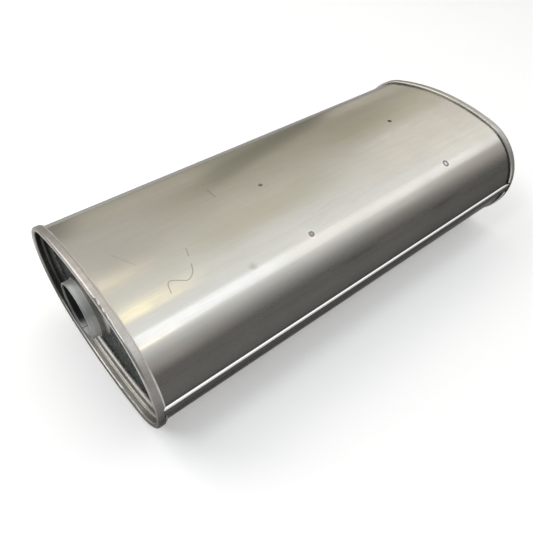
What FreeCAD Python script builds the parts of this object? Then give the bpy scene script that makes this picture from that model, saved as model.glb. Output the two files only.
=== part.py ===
import FreeCAD, Part
import math
import os

# Muffler with an oval body, three gas passes and two cross baffles.
# Millimetres, +X along the body from the inlet end to the outlet end, +Z up.
# The origin is on the floor, under the middle of the body.

# Body
BODY_LENGTH = 457.2
SHELL_WIDTH = 213.4
SHELL_HEIGHT = 127.0
END_RADIUS = 57.1
SHELL_SHEET = 0.9

# Heads: stamped pans whose flange is rolled over the hem of the shell
HEAD_SHEET = 1.2
HEAD_RECESS = 13.7
HEAD_CORNER_RADIUS = 4.0
WALL_STEP_BEND = 1.6
BAND_STRAIGHT = 5.8
BAND_STEP_BEND = 1.2
BAND_LIP = 0.4
SEAM_GAP = 0.15

# Lengthwise lock seam of the shell
LOCK_OVERLAP = 3.0
LOCK_DROP = 3.0
LOCK_STEP_BEND = 1.4
RELIEF_GAP = 0.4

# Gap between a tube and the collar or sleeve that it is welded in
WELD_GAP = 0.1

# Necks
PIPE_DIAMETER = 50.8
PIPE_CLEARANCE = 0.25
NECK_WALL = 1.5
NECK_REACH = 2.1
SOCKET_DEPTH = 38.1
NECK_STEP_BEND = 4.0
SLEEVE_LENGTH = 14.0
NECK_EDGE_RADIUS = 0.6
COLLAR_REACH = 9.2
COLLAR_ROOT_RADIUS = 4.0
INLET_OFFSET = 19.05
OUTLET_EDGE_ROOM = 22.4

# Inner tubes
TUBE_DIAMETER = 47.6
RETURN_ROOM = 9.25
TUBE_WALL = 1.2
TUBE_END_GAP = 1.0
TUBE_PAST_BAFFLE = 12.0

# Baffles, each placed by the line of spot welds that holds its flange
FRONT_WELD_LINE = 178.0
REAR_WELD_LINE = 358.0
BAFFLE_SHEET = 1.2
BAFFLE_FLANGE = 14.0
BAFFLE_BEND_RADIUS = 2.5
BAFFLE_COLLAR_REACH = 6.0
BAFFLE_COLLAR_ROOT = 1.5

# Perforated stretch of the tubes, between the baffles
HOLE_DIAMETER = 7.0
HOLE_RINGS = 5
HOLES_PER_RING = 6
HOLE_RING_PITCH = 26.0

# Dents left by the spot welds, placed by the tilt of the shell from level
CROWN_DENT_DIAMETER = 3.4
SHOULDER_DENT_DIAMETER = 5.6
DENT_DEPTH = 0.25
FRONT_CROWN_TILT = 1.1
FRONT_SHOULDER_TILT = 24.7
REAR_CROWN_TILT = 0.1
REAR_SHOULDER_TILT = 28.7

# Worked out from the sizes above
HALF_WIDTH = SHELL_WIDTH / 2
HALF_HEIGHT = SHELL_HEIGHT / 2
END_CENTRE = HALF_WIDTH - END_RADIUS
SIDE_RADIUS = (END_CENTRE**2 + HALF_HEIGHT**2 - END_RADIUS**2) / (2 * (HALF_HEIGHT - END_RADIUS))
SIDE_CENTRE = SIDE_RADIUS - HALF_HEIGHT
SIDE_ANGLE = math.degrees(math.atan2(END_CENTRE, SIDE_CENTRE))
LAYER_PITCH = SHELL_SHEET + SEAM_GAP
HEM_MIDDLE = LAYER_PITCH - SHELL_SHEET / 2
BAND_MIDDLE = HEM_MIDDLE + SHELL_SHEET / 2 + SEAM_GAP + HEAD_SHEET / 2
WALL_MIDDLE = -SHELL_SHEET - SEAM_GAP - HEAD_SHEET / 2
RIM_PROUD = BAND_MIDDLE + HEAD_SHEET / 2
RIM_BEND = (BAND_MIDDLE - WALL_MIDDLE) / 2
RIM_CENTRE = RIM_BEND + HEAD_SHEET / 2
HEM_BEND = LAYER_PITCH / 2
AXIS_HEIGHT = HALF_HEIGHT + RIM_PROUD
SOCKET_RADIUS = PIPE_DIAMETER / 2 + PIPE_CLEARANCE
NECK_RADIUS = SOCKET_RADIUS + NECK_WALL
OUTLET_OFFSET = NECK_RADIUS + OUTLET_EDGE_ROOM - HALF_WIDTH
RETURN_SPACE_START = INLET_OFFSET + TUBE_DIAMETER / 2
RETURN_SPACE_END = HALF_WIDTH - SHELL_SHEET
RETURN_OFFSET = (RETURN_SPACE_START + RETURN_SPACE_END) / 2
RETURN_DIAMETER = RETURN_SPACE_END - RETURN_SPACE_START - 2 * RETURN_ROOM


def step_length(shift, radius):
    """Length along the sheet that a parallel step of two equal bends takes."""
    angle = math.acos(1 - abs(shift) / (2 * radius))
    return 2 * radius * math.sin(angle)


# Places along the body, from the rim plane: the rolled band, the wall's step and the seam's ends
BAND_WIDTH = BAND_STRAIGHT + step_length(LAYER_PITCH, BAND_STEP_BEND) + BAND_LIP
HEM_FOLD = HEAD_SHEET + SEAM_GAP + SHELL_SHEET / 2 + HEM_BEND
HEM_END = BAND_STRAIGHT - SEAM_GAP
LOCK_START = BAND_STRAIGHT + SEAM_GAP
INNER_LAYER_START = BAND_STRAIGHT + step_length(LAYER_PITCH, WALL_STEP_BEND) + RELIEF_GAP


def in_side_view(x, out):
    """Point of a section along the body: x along it, out from the axis or the shell."""
    return FreeCAD.Vector(x, 0, out)


def in_end_view(y, z):
    """Point of a section across the body."""
    return FreeCAD.Vector(0, y, z)


class BentSheet:
    """Section of a bent sheet, walked along the middle of its thickness."""

    def __init__(self, view, start, heading, thickness):
        self.view = view
        self.point = start
        self.heading = heading
        self.half = thickness / 2
        self.left_side = []
        self.right_side = []

    def beside(self, point, heading, distance):
        """Point at a distance to the left of a place on the walk."""
        side = math.radians(heading + 90)
        return (point[0] + distance * math.cos(side), point[1] + distance * math.sin(side))

    def run(self, length):
        """Straight stretch."""
        along = math.radians(self.heading)
        end = (self.point[0] + length * math.cos(along), self.point[1] + length * math.sin(along))
        for edges, distance in ((self.left_side, self.half), (self.right_side, -self.half)):
            first = self.beside(self.point, self.heading, distance)
            last = self.beside(end, self.heading, distance)
            edges.append(Part.LineSegment(self.view(*first), self.view(*last)).toShape())
        self.point = end
        return self

    def bend(self, angle, radius):
        """Round bend, to the left for a positive angle; the radius is to the middle of the sheet."""
        turn = math.copysign(1, angle)
        centre = self.beside(self.point, self.heading, turn * radius)
        for edges, distance in ((self.left_side, self.half), (self.right_side, -self.half)):
            reach = distance - turn * radius
            places = [self.beside(centre, self.heading + angle * part, reach) for part in (0, 0.5, 1)]
            edges.append(Part.Arc(*[self.view(*place) for place in places]).toShape())
        self.heading += angle
        self.point = self.beside(centre, self.heading, -turn * radius)
        return self

    def step(self, shift, radius):
        """Parallel step sideways by two equal bends, to the left for a positive shift."""
        angle = math.degrees(math.acos(1 - abs(shift) / (2 * radius)))
        turn = math.copysign(angle, shift)
        return self.bend(turn, radius).bend(-turn, radius)

    def face(self):
        """Closed section."""
        start = Part.LineSegment(end_point(self.right_side[0], 0), end_point(self.left_side[0], 0))
        finish = Part.LineSegment(end_point(self.left_side[-1], -1), end_point(self.right_side[-1], -1))
        edges = self.left_side + [finish.toShape()] + self.right_side + [start.toShape()]
        return Part.Face(Part.Wire(Part.__sortEdges__(edges)))


def end_point(edge, which):
    """First or last point of an edge, in the direction it was drawn."""
    return edge.Curve.value(edge.FirstParameter if which == 0 else edge.LastParameter)


def oval_arcs():
    """The four arcs of the shell's outside: centre y, centre z, radius, start and sweep in degrees.

    Angles turn about +X from the top of the oval towards -Y.
    """
    end_sweep = 180 - 2 * SIDE_ANGLE
    return (
        (0, -SIDE_CENTRE, SIDE_RADIUS, -SIDE_ANGLE, 2 * SIDE_ANGLE),
        (-END_CENTRE, 0, END_RADIUS, SIDE_ANGLE, end_sweep),
        (0, SIDE_CENTRE, SIDE_RADIUS, 180 - SIDE_ANGLE, 2 * SIDE_ANGLE),
        (END_CENTRE, 0, END_RADIUS, 180 + SIDE_ANGLE, end_sweep),
    )


def oval_prism(x_start, x_end, offset):
    """Solid oval bar, offset from the outside of the shell."""
    edges = []
    for centre_y, centre_z, radius, start, sweep in oval_arcs():
        points = []
        for part in (0, 0.5, 1):
            turn = math.radians(start + sweep * part)
            y = centre_y - (radius + offset) * math.sin(turn)
            z = centre_z + (radius + offset) * math.cos(turn)
            points.append(FreeCAD.Vector(x_start, y, z))
        edges.append(Part.Arc(*points).toShape())
    return Part.Face(Part.Wire(edges)).extrude(FreeCAD.Vector(x_end - x_start, 0, 0))


def oval_ring(section):
    """Carry a section drawn against the shell's outside round the whole oval."""
    quarters = []
    for centre_y, centre_z, radius, start, sweep in oval_arcs():
        piece = section.copy()
        piece.translate(FreeCAD.Vector(0, 0, radius))
        piece.rotate(FreeCAD.Vector(0, 0, 0), FreeCAD.Vector(1, 0, 0), start)
        solid = piece.revolve(FreeCAD.Vector(0, 0, 0), FreeCAD.Vector(1, 0, 0), sweep)
        solid.translate(FreeCAD.Vector(0, centre_y, centre_z))
        quarters.append(solid)
    return quarters[0].multiFuse(quarters[1:])


def turned(section, offset):
    """Turn a section full circle about an axis along X at a sideways offset."""
    solid = section.revolve(FreeCAD.Vector(0, 0, 0), FreeCAD.Vector(1, 0, 0), 360)
    solid.translate(FreeCAD.Vector(0, offset, 0))
    return solid


def round_bar(x_start, x_end, radius, offset):
    """Plain cylinder along X."""
    base = FreeCAD.Vector(x_start, offset, 0)
    return Part.makeCylinder(radius, x_end - x_start, base, FreeCAD.Vector(1, 0, 0))


def step_on_arc(inner, outer, radius):
    """Bend angles and swept angle of a step outwards between two arcs about one centre."""
    near = inner + radius
    far = outer - radius
    apart = 2 * radius
    swept = math.acos((near**2 + far**2 - apart**2) / (2 * near * far))
    first = math.acos((near**2 + apart**2 - far**2) / (2 * near * apart))
    return math.degrees(first), math.degrees(first + swept), math.degrees(swept)


class LockSeam:
    """Angles and radii of the four interlocked layers, about the centre of the tight end.

    Layer 1 is innermost. The lower edge of the sheet steps in to layer 1 and folds back as
    layer 3. The upper edge steps out to layer 4 and folds back as layer 2, the shell's own level.
    """

    def __init__(self):
        self.level = END_RADIUS - SHELL_SHEET / 2
        self.inner = self.level - LAYER_PITCH
        self.hooked = self.level + LAYER_PITCH
        self.outer = self.level + 2 * LAYER_PITCH
        middle = 90 + math.degrees(math.asin(LOCK_DROP / END_RADIUS))
        self.upper_fold = middle - self.degrees(LOCK_OVERLAP / 2)
        self.lower_fold = middle + self.degrees(LOCK_OVERLAP / 2)
        fold_reach = self.degrees(LAYER_PITCH + SHELL_SHEET / 2 + SEAM_GAP)
        self.step_out = step_on_arc(self.level, self.outer, LOCK_STEP_BEND)
        self.step_in = step_on_arc(self.inner, self.level, LOCK_STEP_BEND)
        self.upper_step_end = self.upper_fold - fold_reach
        self.upper_start = self.upper_step_end - self.step_out[2]
        self.lower_step_start = self.lower_fold + fold_reach
        self.lower_end = self.lower_step_start + self.step_in[2]

    def degrees(self, length):
        """Angle that a length takes at the shell's own level."""
        return math.degrees(length / self.level)


def place_on_end(radius, turn):
    """Point on an arc about the centre of the tight end that carries the lock seam."""
    angle = math.radians(turn)
    return (-END_CENTRE - radius * math.sin(angle), radius * math.cos(angle))


def shell_section():
    """Open oval sheet with its two edges hooked into each other."""
    seam = LockSeam()
    hook_gap = seam.degrees(SEAM_GAP)
    start = seam.lower_fold - hook_gap
    side_level = SIDE_RADIUS - SHELL_SHEET / 2
    end_sweep = 180 - 2 * SIDE_ANGLE
    sheet = BentSheet(in_end_view, place_on_end(seam.hooked, start), start, SHELL_SHEET)
    sheet.bend(seam.upper_fold - start, seam.hooked)
    sheet.bend(-180, LAYER_PITCH)
    sheet.bend(seam.lower_step_start - seam.upper_fold, seam.inner)
    sheet.bend(-seam.step_in[0], LOCK_STEP_BEND)
    sheet.bend(seam.step_in[1], LOCK_STEP_BEND)
    sheet.bend(180 - SIDE_ANGLE - seam.lower_end, seam.level)
    sheet.bend(2 * SIDE_ANGLE, side_level)
    sheet.bend(end_sweep, seam.level)
    sheet.bend(2 * SIDE_ANGLE, side_level)
    sheet.bend(seam.upper_start - SIDE_ANGLE, seam.level)
    sheet.bend(-seam.step_out[0], LOCK_STEP_BEND)
    sheet.bend(seam.step_out[1], LOCK_STEP_BEND)
    sheet.bend(seam.lower_fold - seam.upper_step_end, seam.outer)
    sheet.bend(180, LAYER_PITCH)
    sheet.bend(-(seam.lower_fold - seam.upper_fold - hook_gap), seam.level)
    return sheet.face()


def seam_relief(x_start, x_end, offset):
    """Room round the lock seam, from an offset of the shell's outside outwards."""
    seam = LockSeam()
    margin = seam.degrees(RELIEF_GAP)
    reach = 2 * END_RADIUS
    corners = [(-END_CENTRE, 0)]
    corners.append(place_on_end(reach, seam.upper_start - margin))
    corners.append(place_on_end(reach, seam.lower_end + margin))
    points = [FreeCAD.Vector(x_start, y, z) for y, z in corners]
    wedge = Part.Face(Part.makePolygon(points + points[:1]))
    wedge = wedge.extrude(FreeCAD.Vector(x_end - x_start, 0, 0))
    return wedge.cut(oval_prism(x_start, x_end, offset))


def hem_ring():
    """End of the shell with its edge folded back outwards, at the inlet end."""
    sheet = BentSheet(in_side_view, (INNER_LAYER_START, -SHELL_SHEET / 2), 180, SHELL_SHEET)
    sheet.run(INNER_LAYER_START - HEM_FOLD)
    sheet.bend(-180, HEM_BEND)
    sheet.run(HEM_END - HEM_FOLD)
    return oval_ring(sheet.face())


def weld_dent(weld_line, tilt, diameter, side):
    """Ball that presses a shallow round dent in the shell; side is 1 above and -1 turned over below."""
    ball_radius = (diameter**2 / 4 + DENT_DEPTH**2) / (2 * DENT_DEPTH)
    centre_y, centre_z, radius = -END_CENTRE, 0, END_RADIUS
    if tilt < SIDE_ANGLE:
        centre_y, centre_z, radius = 0, -SIDE_CENTRE, SIDE_RADIUS
    lift = radius + ball_radius - DENT_DEPTH
    y = centre_y - lift * math.sin(math.radians(tilt))
    z = centre_z + lift * math.cos(math.radians(tilt))
    return Part.makeSphere(ball_radius, FreeCAD.Vector(weld_line, side * y, side * z))


def mirrored(solid):
    """The same piece at the other end of the body."""
    return solid.mirror(FreeCAD.Vector(BODY_LENGTH / 2, 0, 0), FreeCAD.Vector(1, 0, 0))


def outer_shell():
    """Wrapped sheet: lock seam along -Y, a hem at each end and the dents of the welds."""
    seamed = shell_section()
    seamed.translate(FreeCAD.Vector(LOCK_START, 0, 0))
    seamed = seamed.extrude(FreeCAD.Vector(BODY_LENGTH - 2 * LOCK_START, 0, 0))
    for x_start in (0, BODY_LENGTH - INNER_LAYER_START):
        seamed = seamed.cut(oval_prism(x_start, x_start + INNER_LAYER_START, -SHELL_SHEET))
    near = hem_ring()
    shell = seamed.multiFuse([near, mirrored(near)])
    dents = []
    for side in (1, -1):
        dents.append(weld_dent(FRONT_WELD_LINE, FRONT_CROWN_TILT, CROWN_DENT_DIAMETER, side))
        dents.append(weld_dent(FRONT_WELD_LINE, FRONT_SHOULDER_TILT, SHOULDER_DENT_DIAMETER, side))
        dents.append(weld_dent(REAR_WELD_LINE, REAR_CROWN_TILT, CROWN_DENT_DIAMETER, side))
        dents.append(weld_dent(REAR_WELD_LINE, REAR_SHOULDER_TILT, SHOULDER_DENT_DIAMETER, side))
    return shell.cut(dents)


def collar(x_face, radius, reach, root, thickness, offset, away):
    """Round lip drawn out of a flat sheet; away is -1 towards the inlet and 1 towards the outlet."""
    middle = radius + thickness / 2
    bend = root + thickness / 2
    straight = reach - root - thickness
    sheet = BentSheet(in_side_view, (x_face, middle + bend), -90, thickness)
    sheet.bend(-90 if away < 0 else 90, bend)
    sheet.run(straight)
    return turned(sheet.face(), offset), round_bar(x_face - bend, x_face + bend, middle + bend, offset)


def head(neck_offset):
    """Stamped pan at the inlet end: rolled rim, stepped wall, flat panel and the neck's collar."""
    panel_middle = HEAD_RECESS + HEAD_SHEET / 2
    bend = HEAD_CORNER_RADIUS + HEAD_SHEET / 2
    panel_edge = WALL_MIDDLE - LAYER_PITCH - bend
    step_along = step_length(LAYER_PITCH, WALL_STEP_BEND)
    sheet = BentSheet(in_side_view, (panel_middle, panel_edge), 90, HEAD_SHEET)
    sheet.bend(90, bend)
    sheet.run(panel_middle - bend - BAND_STRAIGHT - step_along)
    sheet.step(-LAYER_PITCH, WALL_STEP_BEND)
    sheet.run(BAND_STRAIGHT - RIM_CENTRE)
    sheet.bend(-180, RIM_BEND)
    sheet.run(BAND_STRAIGHT - RIM_CENTRE)
    sheet.step(-LAYER_PITCH, BAND_STEP_BEND)
    sheet.run(BAND_LIP)
    rim = oval_ring(sheet.face())
    hug = NECK_RADIUS + WELD_GAP
    lip, hole = collar(panel_middle, hug, COLLAR_REACH, COLLAR_ROOT_RADIUS, HEAD_SHEET, neck_offset, -1)
    panel = oval_prism(HEAD_RECESS, HEAD_RECESS + HEAD_SHEET, panel_edge).cut(hole)
    notch = seam_relief(LOCK_START - RELIEF_GAP, BAND_WIDTH + RELIEF_GAP, 0)
    return rim.cut(notch).multiFuse([panel, lip])


def neck(offset):
    """Pipe socket at the inlet end, swaged down to a sleeve round the inner tube."""
    sleeve_middle = TUBE_DIAMETER / 2 + WELD_GAP + NECK_WALL / 2
    socket_middle = SOCKET_RADIUS + NECK_WALL / 2
    sheet = BentSheet(in_side_view, (-NECK_REACH, socket_middle), 0, NECK_WALL)
    sheet.run(SOCKET_DEPTH)
    sheet.step(sleeve_middle - socket_middle, NECK_STEP_BEND)
    sheet.run(SLEEVE_LENGTH)
    tube = turned(sheet.face(), offset)
    near_lip = NECK_EDGE_RADIUS / 10
    lip = [edge for edge in tube.Edges if abs(edge.CenterOfMass.x + NECK_REACH) < near_lip]
    rings = [edge for edge in lip if isinstance(edge.Curve, Part.Circle)]
    outer = [edge for edge in rings if edge.Curve.Radius > socket_middle]
    return tube.makeFillet(NECK_EDGE_RADIUS, outer)


def sleeve_start():
    """Where the sleeve of a neck begins, measured from the rim plane of its own end."""
    drop = SOCKET_RADIUS - TUBE_DIAMETER / 2 - WELD_GAP
    return SOCKET_DEPTH - NECK_REACH + step_length(drop, NECK_STEP_BEND)


def tube_runs():
    """Sideways offset, diameter, start and end of each inner tube."""
    seat = sleeve_start() + TUBE_END_GAP
    before_front = FRONT_WELD_LINE - BAFFLE_FLANGE / 2 - TUBE_PAST_BAFFLE
    behind_rear = REAR_WELD_LINE + BAFFLE_FLANGE / 2 + TUBE_PAST_BAFFLE
    return {
        "inlet_tube": (INLET_OFFSET, TUBE_DIAMETER, seat, behind_rear),
        "return_tube": (RETURN_OFFSET, RETURN_DIAMETER, before_front, behind_rear),
        "outlet_tube": (OUTLET_OFFSET, TUBE_DIAMETER, before_front, BODY_LENGTH - seat),
    }


def perforated_tube(offset, diameter, x_start, x_end):
    """Inner tube with staggered rings of round holes between the baffles."""
    radius = diameter / 2
    tube = round_bar(x_start, x_end, radius, offset)
    tube = tube.cut(round_bar(x_start, x_end, radius - TUBE_WALL, offset))
    middle = (FRONT_WELD_LINE + REAR_WELD_LINE) / 2
    first = middle - HOLE_RING_PITCH * (HOLE_RINGS - 1) / 2
    turn = 360 / HOLES_PER_RING
    drills = []
    for ring in range(HOLE_RINGS):
        for place in range(HOLES_PER_RING):
            angle = math.radians(turn * (place + 0.5 * (ring % 2)))
            out = FreeCAD.Vector(0, math.cos(angle), math.sin(angle))
            centre = FreeCAD.Vector(first + ring * HOLE_RING_PITCH, offset, 0)
            start = centre + out * (radius - 2 * TUBE_WALL)
            drills.append(Part.makeCylinder(HOLE_DIAMETER / 2, 3 * TUBE_WALL, start, out))
    return tube.cut(drills)


def baffle(weld_line):
    """Flanged cross wall with a drawn collar round each of the three tubes."""
    flange_middle = -SHELL_SHEET - SEAM_GAP - BAFFLE_SHEET / 2
    bend = BAFFLE_BEND_RADIUS + BAFFLE_SHEET / 2
    plate_edge = flange_middle - bend
    plate_middle = weld_line - BAFFLE_FLANGE / 2 + BAFFLE_SHEET / 2
    sheet = BentSheet(in_side_view, (plate_middle, plate_edge), 90, BAFFLE_SHEET)
    sheet.bend(-90, bend)
    sheet.run(BAFFLE_FLANGE - BAFFLE_SHEET / 2 - bend)
    rim = oval_ring(sheet.face())
    half = BAFFLE_SHEET / 2
    plate = oval_prism(plate_middle - half, plate_middle + half, plate_edge)
    collars = []
    for offset, diameter, _, _ in tube_runs().values():
        hug = diameter / 2 + WELD_GAP
        lip, hole = collar(
            plate_middle, hug, BAFFLE_COLLAR_REACH, BAFFLE_COLLAR_ROOT, BAFFLE_SHEET, offset, 1
        )
        plate = plate.cut(hole)
        collars.append(lip)
    seam_depth = SHELL_SHEET + LAYER_PITCH + RELIEF_GAP
    notch = seam_relief(plate_middle - bend, plate_middle + BAFFLE_FLANGE + bend, -seam_depth)
    return rim.multiFuse([plate] + collars).cut(notch)


def write(name, solid):
    """Lift a piece onto the floor frame and save it."""
    placed = solid.copy()
    placed.translate(FreeCAD.Vector(-BODY_LENGTH / 2, 0, AXIS_HEIGHT))
    if len(placed.Solids) == 1:
        placed = placed.Solids[0]
    placed.exportStep("parts/" + name + ".step")


os.makedirs("parts", exist_ok=True)
write("outer_shell", outer_shell())
write("inlet_head", head(INLET_OFFSET))
write("outlet_head", mirrored(head(OUTLET_OFFSET)))
write("inlet_neck", neck(INLET_OFFSET))
write("outlet_neck", mirrored(neck(OUTLET_OFFSET)))
write("front_baffle", baffle(FRONT_WELD_LINE))
write("rear_baffle", baffle(REAR_WELD_LINE))
for tube_name, tube_run in tube_runs().items():
    write(tube_name, perforated_tube(*tube_run))
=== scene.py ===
"""Looks of an oval sheet-steel exhaust muffler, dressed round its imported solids.

Metres, in the part's own frame: +X along the body from the inlet end to the outlet end, +Z up,
origin on the floor under the middle of the body. Sizes that are named in millimetres say so.
"""

import logging
import math
from dataclasses import dataclass
from enum import Enum

import bpy
from mathutils import Matrix, Vector


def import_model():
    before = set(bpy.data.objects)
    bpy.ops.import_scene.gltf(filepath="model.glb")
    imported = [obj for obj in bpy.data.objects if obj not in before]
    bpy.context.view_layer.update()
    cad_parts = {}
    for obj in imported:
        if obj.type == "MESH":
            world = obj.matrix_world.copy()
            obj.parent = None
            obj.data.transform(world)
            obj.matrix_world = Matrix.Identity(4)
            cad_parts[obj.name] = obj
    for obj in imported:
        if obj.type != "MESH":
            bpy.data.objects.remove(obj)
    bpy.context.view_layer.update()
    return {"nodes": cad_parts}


log = logging.getLogger("muffler")

MILLIMETRE = 0.001
SENSOR_WIDTH = 36.0
PHOTO_SIDE = 533
GRAZING_TINT = (0.42, 0.42, 0.42, 1.0)
NO_POINT = (0.0, 0.0, 0.0)

Colour = tuple[float, float, float]
Point = tuple[float, float, float]
Socket = bpy.types.NodeSocket


class Grain(Enum):
    """Direction in which a sheet was rolled or a tube was drawn, as a stretch of the pattern."""

    ALONG_BODY = (0.06, 1.0, 1.0)
    ACROSS_RIM = (0.25, 1.0, 1.0)
    NONE = (1.0, 1.0, 1.0)


class Mixed(Enum):
    """What a mix node mixes; the number counts its kinds of sockets."""

    FLOAT = 0
    VECTOR = 1
    RGBA = 2


@dataclass(frozen=True)
class Ramp:
    """Smooth change from start to end while a value goes from low to high."""

    low: float
    high: float
    start: float = 0.0
    end: float = 1.0


@dataclass(frozen=True)
class Pattern:
    """Soft cloud pattern, and the part of its range that is kept."""

    scale: float
    detail: float = 2.0
    rough: float = 0.55
    kept: Ramp = Ramp(0.0, 1.0)


class Wiring:
    """Short way to lay nodes in a tree."""

    def __init__(self, tree: bpy.types.NodeTree) -> None:
        """Keep the tree that the nodes go in."""
        self.tree = tree

    def put(self, kind: str, values: dict | None = None, **settings: object) -> bpy.types.Node:
        """Add a node.

        Args:
            kind: Node type, such as ShaderNodeMath.
            values: Input number or name to a value, or to an output socket to link from.
            settings: Properties of the node.

        Returns:
            The new node.
        """
        node = self.tree.nodes.new(kind)
        for name, value in settings.items():
            setattr(node, name, value)
        for name, value in (values or {}).items():
            self.set(node.inputs[name], value)
        return node

    def set(self, socket: Socket, value: object) -> None:
        """Fill an input.

        Args:
            socket: The input.
            value: Output socket to link from, or a plain number, vector or colour.
        """
        if isinstance(value, bpy.types.NodeSocket):
            self.tree.links.new(value, socket)
        elif socket.type == "RGBA" and len(value) == 3:
            socket.default_value = (*value, 1.0)
        else:
            socket.default_value = value

    def use(self, group: bpy.types.NodeTree, values: dict) -> bpy.types.bpy_prop_collection:
        """Outputs of a shared node group, by name, for values given by name."""
        return self.put("ShaderNodeGroup", values, node_tree=group).outputs

    def math(self, operation: str, *values: object) -> Socket:
        """Number worked out from one to three numbers or sockets."""
        return self.put("ShaderNodeMath", dict(enumerate(values)), operation=operation).outputs[0]

    def times(self, first: object, second: object) -> Socket:
        """One number times another."""
        return self.math("MULTIPLY", first, second)

    def rest(self, share: object) -> Socket:
        """What a share leaves of 1."""
        return self.math("SUBTRACT", 1.0, share)

    def vector(self, operation: str, *values: object, out: str = "Vector") -> Socket:
        """Vector or number worked out from vectors."""
        return self.put("ShaderNodeVectorMath", dict(enumerate(values)), operation=operation).outputs[out]

    def length(self, vector: object) -> Socket:
        """Length of a vector."""
        return self.vector("LENGTH", vector, out="Value")

    def split(self, vector: object) -> bpy.types.bpy_prop_collection:
        """Parts of a vector, by the names X, Y and Z."""
        return self.put("ShaderNodeSeparateXYZ", {0: vector}).outputs

    def join(self, x: object, y: object, z: object) -> Socket:
        """Vector made from its three parts."""
        return self.put("ShaderNodeCombineXYZ", {"X": x, "Y": y, "Z": z}).outputs[0]

    def span(self, value: object, low: object, high: object, start: float, end: float) -> Socket:
        """Value carried smoothly from the range low to high into start to end."""
        inputs = {"Value": value, "From Min": low, "From Max": high, "To Min": start, "To Max": end}
        return self.put("ShaderNodeMapRange", inputs, interpolation_type="SMOOTHSTEP").outputs[0]

    def ramp(self, value: object, ramp: Ramp) -> Socket:
        """Value carried along a ramp."""
        return self.span(value, ramp.low, ramp.high, ramp.start, ramp.end)

    def mix(self, kind: Mixed, share: object, first: object, second: object) -> Socket:
        """Mix two values.

        Args:
            kind: What the values are.
            share: How much of the second there is.
            first: Value at a share of 0.
            second: Value at a share of 1.

        Returns:
            The mixed value.
        """
        place = 2 + 2 * kind.value
        values = {0: share, place: first, place + 1: second}
        return self.put("ShaderNodeMix", values, data_type=kind.name).outputs[kind.value]

    def shade(self, colour: object, factor: object) -> Socket:
        """Colour made lighter or darker by a factor."""
        values = {0: colour, "Scale": factor}
        return self.put("ShaderNodeVectorMath", values, operation="SCALE").outputs[0]

    def noise(self, where: object, scale: object, detail: float = 2.0, rough: float = 0.55) -> Socket:
        """Soft cloud pattern, about 0 to 1."""
        inputs = {"Vector": where, "Scale": scale, "Detail": detail, "Roughness": rough}
        return self.put("ShaderNodeTexNoise", inputs).outputs["Fac"]

    def mottle(self, where: object, pattern: Pattern) -> Socket:
        """Kept part of a pattern, as a mask or a factor."""
        return self.ramp(self.noise(where, pattern.scale, pattern.detail, pattern.rough), pattern.kept)


def new_group(name: str, inputs: dict, outputs: dict) -> tuple[Wiring, bpy.types.Node, bpy.types.Node]:
    """Start a node group.

    Args:
        name: Name of the group.
        inputs: Input name to its default; a number, or a vector of three.
        outputs: Output name to its socket type, such as Float or Vector.

    Returns:
        The wiring, the group's input node and its output node.
    """
    tree = bpy.data.node_groups.new(name, "ShaderNodeTree")
    for label, default in inputs.items():
        kind = "NodeSocketVector" if isinstance(default, tuple) else "NodeSocketFloat"
        socket = tree.interface.new_socket(label, in_out="INPUT", socket_type=kind)
        socket.default_value = default
    for label, kind in outputs.items():
        tree.interface.new_socket(label, in_out="OUTPUT", socket_type="NodeSocket" + kind)
    wiring = Wiring(tree)
    return wiring, wiring.put("NodeGroupInput"), wiring.put("NodeGroupOutput")


@dataclass(frozen=True)
class Oval:
    """Four-arc oval of the shell's outside, seen along the body."""

    width: float = 0.2134
    height: float = 0.127
    end_radius: float = 0.0571
    centre_height: float = 0.0659
    half_length: float = 0.2286

    @property
    def end_centre(self) -> float:
        """Sideways distance of the tight ends' centres from the middle."""
        return self.width / 2 - self.end_radius

    @property
    def side_radius(self) -> float:
        """Radius of the broad top and bottom."""
        half = self.height / 2
        return (self.end_centre**2 + half**2 - self.end_radius**2) / (2 * (half - self.end_radius))

    @property
    def side_centre(self) -> float:
        """Distance of the broad arcs' centres below or above the middle."""
        return self.side_radius - self.height / 2

    def top_at(self, x_mm: float, y_mm: float) -> Point:
        """Point on the upper half of the shell's outside.

        Args:
            x_mm: Place along the body, in millimetres.
            y_mm: Place across the body, in millimetres.

        Returns:
            The point, in metres.
        """
        y = y_mm * MILLIMETRE
        turn = math.atan2(self.end_centre, self.side_centre)
        if abs(y) < self.side_radius * math.sin(turn):
            up = math.sqrt(self.side_radius**2 - y**2) - self.side_centre
        else:
            up = math.sqrt(self.end_radius**2 - (abs(y) - self.end_centre) ** 2)
        return (x_mm * MILLIMETRE, y, self.centre_height + up)


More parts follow.
